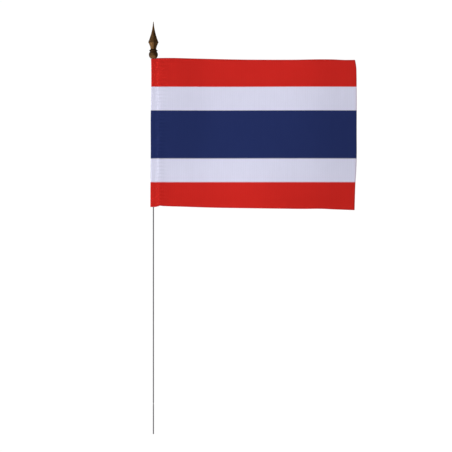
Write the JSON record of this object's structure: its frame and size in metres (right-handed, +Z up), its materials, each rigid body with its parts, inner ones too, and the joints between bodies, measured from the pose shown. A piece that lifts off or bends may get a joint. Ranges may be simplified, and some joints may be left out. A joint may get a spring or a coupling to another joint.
{
  "type": "table flag",
  "caption": "Small cloth flag with printed level bands, sewn as a sleeve on a thin wire pole under a spearhead finial. The pole's foot plugs into a base's socket.",
  "frame": {"origin": "centre of the pole's foot end, where it bottoms in a base's socket", "axes": "+Z up the pole, +X from the pole towards the flag's fly edge, -Y the way the flag's face looks at rest"},
  "size_m": [0.1414, 0.007, 0.28],
  "materials": {
    "wire_steel": "bright drawn spring-steel wire with fine lengthwise draw lines",
    "antique_bronze": "moulded plastic with an antique-bronze coat, mottled brown with paler rubbed high spots, satin",
    "soft_tube": "milky clear soft tube",
    "printed_cloth": "light knitted polyester, printed through, satin-matte, with hot-cut edges",
    "clear_thread": "clear nylon sewing thread"
  },
  "bodies": {
    "pole": {"pole_wire": "wire_steel"},
    "finial": {"finial": "antique_bronze"},
    "grip": {"grip_ring": "soft_tube"},
    "flag": {"flag_cloth": "printed_cloth", "needle_thread": "clear_thread", "bobbin_thread": "clear_thread"}
  },
  "joints": [
    {"name": "finial_pull", "type": "slide", "parent": "pole", "child": "finial", "axis": [0, 0, 1], "range_m": [0, 0.012]},
    {"name": "flag_height", "type": "slide", "parent": "pole", "child": "grip", "axis": [0, 0, 1], "range_m": [-0.13, 0]},
    {"name": "flag_swivel", "type": "hinge", "parent": "grip", "child": "flag", "pos_m": [0, 0, 0.2514], "axis": [0, 0, 1], "continuous": true}
  ]
}
